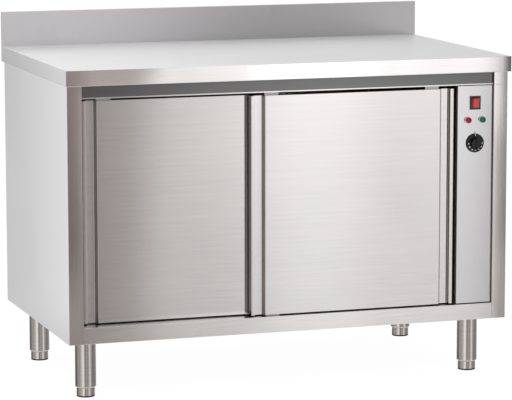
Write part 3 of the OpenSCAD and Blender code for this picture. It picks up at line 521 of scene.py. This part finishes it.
def refinish_worktop(worktop):
    """The edges, the ends and the front of the upstand take the light in their own way, and the
    edges and the upstand also carry painted reflection.
    """
    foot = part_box("worktop")[1].z - UPSTAND_HEIGHT
    refinish(worktop, "edge_steel", lambda c, n: abs(n.z) < STEEP)
    refinish(worktop, "flange_steel", lambda c, n: abs(n.x) > STEEP)
    refinish(worktop, "upstand_steel", lambda c, n: n.y < -SQUARE and c.y > 0.0 and c.z > foot)


def refinish_front(top_rail, control_panel):
    """The hem along the top rail's lower edge, and the left return of the control panel."""
    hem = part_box("top_rail")[0].z + HEM_HEIGHT
    refinish(top_rail, "rail_steel", lambda c, n: c.z < hem)
    refinish(control_panel, "return_steel", lambda c, n: n.x < -SQUARE)


def refinish_door(side, skin):
    """The slanted folds of the finger pulls, and the wall of the right-hand one, with painted
    shade in these recesses.
    """
    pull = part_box(f"{side}_door_skin")[1].x - PULL_WALL
    refinish(skin, "fold_painted_shade", lambda c, n: -SQUARE < n.x < -SLANTED)
    refinish(
        skin, "pull_painted_shade", lambda c, n: n.x < -SQUARE and abs(c.x - pull) < WALL_TOLERANCE
    )


def refinish_post(side, panel):
    """The post that is folded along the front of a side panel."""
    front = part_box(f"{side}_side_panel")[0].y + POST_DEPTH
    refinish(panel, "post_steel", lambda c, n: n.y < -GLANCING and c.y < front)


def add_sheets():
    """All visible sheets, with the finishes of their parts."""
    sheets = {node: sheet_piece(node, material) for node, material in SHEET_PIECES.items()}
    refinish_worktop(sheets["worktop"])
    refinish_front(sheets["top_rail"], sheets["control_panel"])
    for side in ("left", "right"):
        refinish_door(side, sheets[f"{side}_door_skin"])
        refinish_post(side, sheets[f"{side}_side_panel"])


# ---- CAD pieces that keep their shape ----

EDGE_WIDTH = 0.0004
EDGE_SEGMENTS = 2
EDGE_ANGLE = 40.0


def dress_cad_nodes():
    """Each CAD node gets its finish, and those that no sheet stands for get softened edges."""
    for name, obj in frame["nodes"].items():
        obj.data.materials.clear()
        obj.data.materials.append(MATERIALS[SLOTS[name]])
        if name in SHEET_PIECES:
            continue
        weld = obj.modifiers.new("weld", "WELD")
        weld.merge_threshold = MERGE_DISTANCE
        soft = obj.modifiers.new("soft", "BEVEL")
        soft.width = EDGE_WIDTH
        soft.segments = EDGE_SEGMENTS
        soft.limit_method = "ANGLE"
        soft.angle_limit = math.radians(EDGE_ANGLE)
        weigh_normals(obj)


# ---- Marks on the surface ----

NUMERALS = ("30", "40", "50", "60", "70", "80", "90")
NUMERAL_HEIGHT = 0.0042
NUMERAL_BOLD = 0.00012
FIRST_NUMERAL = 93.0
NUMERAL_STEP = 29.2
# How far the numerals and the zero mark are from the dial's middle, as shares of its radius.
NUMERAL_RING = 0.75
ZERO_MARK_RING = 0.86
ZERO_MARK_SIZE = (0.0016, 0.0042)
SKIRT_DEPTH = 0.004
PRINT_LIFT = 0.00006
INDEX_SIZE = (0.0018, 0.0036)
INDEX_RISE = 0.0285
SEAM_WIDTH = 0.0009


def add_bar(mesh, centre, width, height):
    """A flat bar in the plane of the front."""
    half = Vector((width / 2, 0.0, height / 2))
    corners = ((-1, -1), (1, -1), (1, 1), (-1, 1))
    places = [centre + Vector((x * half.x, 0.0, z * half.z)) for x, z in corners]
    mesh.faces.new([mesh.verts.new(place) for place in places])


def add_numeral(mesh, text, place):
    """The outline of a numeral, filled, laid in the plane of the front."""
    curve = bpy.data.curves.new("numeral", "FONT")
    curve.body = text
    curve.size = NUMERAL_HEIGHT
    curve.offset = NUMERAL_BOLD
    curve.align_x = "CENTER"
    curve.align_y = "CENTER"
    writer = add_object("numeral", curve)
    shape = bpy.data.meshes.new_from_object(writer)
    shape.transform(place)
    mesh.from_mesh(shape)
    bpy.data.objects.remove(writer)
    bpy.data.meshes.remove(shape)


def add_marks(name, mesh, material, body):
    """The marks drawn in a mesh, as one piece."""
    data = bpy.data.meshes.new(name)
    mesh.to_mesh(data)
    mesh.free()
    data.materials.append(MATERIALS[material])
    piece = add_object(name, data)
    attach(piece, body)


def add_dial_marks():
    """Numerals and a zero mark on the skirt of the dial, and the index line above it."""
    low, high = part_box("dial_knob")
    middle = (low + high) / 2
    radius = (high.x - low.x) / 2
    skirt = Vector((middle.x, high.y - SKIRT_DEPTH - PRINT_LIFT, middle.z))
    numerals = bmesh.new()
    upright = Matrix.Rotation(math.radians(90.0), 4, "X")
    ring = Matrix.Translation((0.0, 0.0, NUMERAL_RING * radius))
    for i, text in enumerate(NUMERALS):
        turn = Matrix.Rotation(-math.radians(FIRST_NUMERAL + i * NUMERAL_STEP), 4, "Y")
        add_numeral(numerals, text, Matrix.Translation(skirt) @ turn @ ring @ upright)
    add_bar(numerals, skirt + Vector((0.0, 0.0, ZERO_MARK_RING * radius)), *ZERO_MARK_SIZE)
    add_marks("dial_numerals", numerals, "print_white", "dial")
    index = bmesh.new()
    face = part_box("control_panel")[0].y - PRINT_LIFT
    add_bar(index, Vector((middle.x, face, middle.z + INDEX_RISE)), *INDEX_SIZE)
    add_marks("panel_index", index, "print_black", "cabinet")


def add_seams():
    """The ground seams where the top rail and the bottom rail meet the posts."""
    low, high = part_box("bottom_rail")
    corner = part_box("left_side_panel")[0]
    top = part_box("top_rail")[0].z
    face = corner.y - PRINT_LIFT
    post = low.x - corner.x
    seams = bmesh.new()
    for side in (-1.0, 1.0):
        level = Vector((side * (high.x + post / 2), face, top))
        add_bar(seams, level, post - 2 * BEND_RADIUS, SEAM_WIDTH)
        upright = Vector((side * high.x, face, (low.z + high.z) / 2))
        add_bar(seams, upright, SEAM_WIDTH, high.z - low.z - 2 * BEND_RADIUS)
    add_marks("post_seams", seams, "seam_steel", "cabinet")


# ---- Reflections ----

ROOM_TONE = (0.53, 0.50, 0.49)
BACKDROP_TONE = (0.65, 0.645, 0.655)
FLOOR_TONE = (0.95, 0.94, 0.93)
WHITE = (1.0, 1.0, 1.0)

# Directions are in degrees. A bearing runs from the front (-Y) towards the right (+X), and a
# height upwards from level. A window is its low end, its high end and the softness of both.
FRONT_WINDOW = (-105.0, 105.0, 12.0)
FACING_WINDOW = (10.0, 26.0, 1.5)
FLOOR_WINDOW = (-90.0, -24.0, 4.0)
ALL_HEIGHTS = (-50.0, 48.0, 6.0)

# Each panel has a window of bearings, a tone and a window of heights. The facing panels are
# those that the camera sees mirrored in the front.
FACING_PANELS = {
    "left flag": ((12.0, 14.84, 0.1), (0.30, 0.25, 0.23), ALL_HEIGHTS),
    "low left flag": ((12.0, 14.84, 0.1), (0.70, 0.63, 0.59), (-50.0, -10.2, 0.9)),
    "side wall": ((14.84, 16.06, 0.1), (0.71, 0.625, 0.585), ALL_HEIGHTS),
    "strip light": ((16.06, 16.8, 0.14), (1.44, 1.42, 1.40), ALL_HEIGHTS),
    "high side wall": ((14.84, 16.42, 0.22), (0.36, 0.335, 0.33), (-6.2, 48.0, 0.2)),
    "high wall": ((16.42, 16.9, 0.22), (0.92, 0.90, 0.89), (-6.2, 48.0, 0.2)),
    "far wall": ((16.8, 18.2, 0.4), (1.08, 1.05, 1.04), ALL_HEIGHTS),
    "main softbox": ((18.2, 21.0, 0.6), (1.54, 1.53, 1.52), ALL_HEIGHTS),
    "inner fill": ((21.0, 24.0, 0.5), (1.31, 1.29, 1.30), ALL_HEIGHTS),
    "outer fill": ((22.3, 24.0, 0.15), (1.41, 1.39, 1.40), ALL_HEIGHTS),
    "right flag": ((23.5, 27.0, 0.05), (0.16, 0.155, 0.15), ALL_HEIGHTS),
    "low right flag": ((23.26, 27.0, 0.05), (0.35, 0.325, 0.33), (-9.6, -6.9, 0.5)),
    "floor corner": ((23.26, 27.0, 0.05), (0.70, 0.62, 0.59), (-50.0, -9.6, 0.8)),
}
OTHER_PANELS = {
    "left wall": ((-76.0, -29.0, 4.0), (0.72, 0.69, 0.67), ALL_HEIGHTS),
    "left softbox": ((-56.0, -29.0, 5.0), (1.25, 1.23, 1.21), ALL_HEIGHTS),
    "camera flag": ((-26.0, -10.0, 1.0), (0.11, 0.095, 0.085), (-11.1, 48.0, 0.3)),
    "right softbox": ((25.0, 43.0, 4.0), (1.10, 1.08, 1.06), ALL_HEIGHTS),
    "right wall": ((62.0, 125.0, 8.0), (0.34, 0.31, 0.30), ALL_HEIGHTS),
}
BACK_PANELS = {
    "left reflector": ((-165.75, -163.3, 0.9), (1.40, 1.39, 1.40), ALL_HEIGHTS),
    "left backdrop": ((-162.8, -120.0, 0.5), (0.30, 0.28, 0.27), ALL_HEIGHTS),
    "back reflector": ((150.0, 176.0, 3.0), (1.28, 1.28, 1.29), ALL_HEIGHTS),
    "back corner": ((162.5, 176.0, 2.5), (1.62, 1.62, 1.63), ALL_HEIGHTS),
}
# The facing and the back panels darken downwards: two heights, and the factor at each.
FACING_FADE = (-15.0, -3.0, 0.42, 1.20)
BACK_FADE = (-13.0, -10.5, 0.50, 1.0)


def ramp(tree, angle, start, end, low, high):
    """A value that goes smoothly from low to high between two angles in degrees."""
    return remap(tree, angle, math.radians(start), math.radians(end), low, high, "SMOOTHSTEP")


def window(tree, angle, low, high, soft):
    """1 between two angles in degrees and 0 outside, with soft borders."""
    rise, fall = (ramp(tree, angle, edge - soft, edge + soft, 0.0, 1.0) for edge in (low, high))
    return maths(tree, "SUBTRACT", rise, fall)


def panels(tree, colour, bearing, height, rows):
    """Panels laid over a colour, each over the ones before it."""
    for bearings, tone, heights in rows.values():
        sides = window(tree, bearing, *bearings)
        cover = maths(tree, "MULTIPLY", sides, window(tree, height, *heights))
        colour = blended(tree, colour, tone, cover)
    return colour


def studio_reflection(tree):
    """What the steel mirrors: a pale backdrop behind, and in front a room with softboxes and
    flags, on a pale floor."""
    direction = coordinates(tree, "Generated")
    back = maths(tree, "MULTIPLY", direction["Y"], -1.0)
    bearing = maths(tree, "ARCTAN2", direction["X"], back)
    height = maths(tree, "ARCSINE", direction["Z"], 0.0)
    facing = panels(tree, ROOM_TONE, bearing, height, FACING_PANELS)
    facing = toned(tree, facing, ramp(tree, height, *FACING_FADE))
    room = panels(tree, ROOM_TONE, bearing, height, OTHER_PANELS)
    front = blended(tree, room, facing, window(tree, bearing, *FACING_WINDOW))
    behind = panels(tree, BACKDROP_TONE, bearing, height, BACK_PANELS)
    behind = toned(tree, behind, ramp(tree, height, *BACK_FADE))
    around = blended(tree, behind, front, window(tree, bearing, *FRONT_WINDOW))
    return blended(tree, around, FLOOR_TONE, window(tree, height, *FLOOR_WINDOW))


# ---- World, floor and light ----

# The strength of the even light. The camera and the reflections see the world at 1.
WORLD_STRENGTH = 0.8
FLOOR_SIZE = 30.0
FLOOR_COLOUR = (0.95, 0.95, 0.95)
FLOOR_ROUGHNESS = 0.9
# The floor's own light, and how far it covers the shadows for the camera.
FLOOR_GLOW = 1.05
FLOOR_COVER = 0.9
KEY_AT = Vector((-2.2, -3.6, 3.0))
KEY_AIM = Vector((0.0, 0.0, 0.5))
KEY_SIZE = 1.6
KEY_POWER = 60.0


def seen_directly(tree):
    """1 for rays that come from the camera, a reflection or a clear material, else 0."""
    path = add_node(tree, "ShaderNodeLightPath")
    seen = maths(tree, "MAXIMUM", path.outputs["Is Camera Ray"], path.outputs["Is Glossy Ray"])
    return maths(tree, "MAXIMUM", seen, path.outputs["Is Transmission Ray"])


def add_world():
    """Plain white for the camera, even light on the object, and the studio in reflections."""
    world = bpy.data.worlds.new("studio")
    world.use_nodes = True
    tree = world.node_tree
    background = tree.nodes["Background"]
    path = add_node(tree, "ShaderNodeLightPath")
    colour = blended(tree, WHITE, studio_reflection(tree), path.outputs["Is Glossy Ray"])
    strength = remap(tree, seen_directly(tree), 0.0, 1.0, WORLD_STRENGTH, 1.0)
    tree.links.new(colour, background.inputs["Color"])
    tree.links.new(strength, background.inputs["Strength"])
    bpy.context.scene.world = world


def add_floor():
    """A floor that glows nearly white and keeps a faint shadow of the object."""
    mesh = bpy.data.meshes.new("floor")
    half = FLOOR_SIZE / 2
    corners = [(-half, -half, 0), (half, -half, 0), (half, half, 0), (-half, half, 0)]
    mesh.from_pydata(corners, [], [(0, 1, 2, 3)])
    floor = add_object("floor", mesh)
    material, tree, shader = new_material("floor")
    shader.inputs["Base Color"].default_value = (*FLOOR_COLOUR, 1.0)
    shader.inputs["Roughness"].default_value = FLOOR_ROUGHNESS
    shader.inputs["Specular IOR Level"].default_value = 0.0
    glow = add_node(tree, "ShaderNodeEmission", in_Strength=FLOOR_GLOW)
    cover = remap(tree, seen_directly(tree), 0.0, 1.0, 0.0, FLOOR_COVER)
    mix = add_node(tree, "ShaderNodeMixShader")
    tree.links.new(cover, mix.inputs[0])
    tree.links.new(shader.outputs[0], mix.inputs[1])
    tree.links.new(glow.outputs[0], mix.inputs[2])
    tree.links.new(mix.outputs[0], tree.nodes["Material Output"].inputs["Surface"])
    mesh.materials.append(material)
    floor.visible_glossy = False


def add_key_light():
    """A soft light from the upper left, kept out of the reflections."""
    data = bpy.data.lights.new("key", "AREA")
    data.size = KEY_SIZE
    data.energy = KEY_POWER
    light = add_object("key", data)
    light.location = KEY_AT
    light.rotation_euler = (KEY_AIM - KEY_AT).to_track_quat("-Z", "Y").to_euler()
    light.visible_glossy = False


# ---- Scene ----

add_camera()
make_steels()
make_metals()
make_plastics()
make_lenses()
dress_cad_nodes()
add_sheets()
add_dial_marks()
add_seams()
add_world()
add_floor()
add_key_light()
bpy.context.scene.view_settings.view_transform = "Standard"
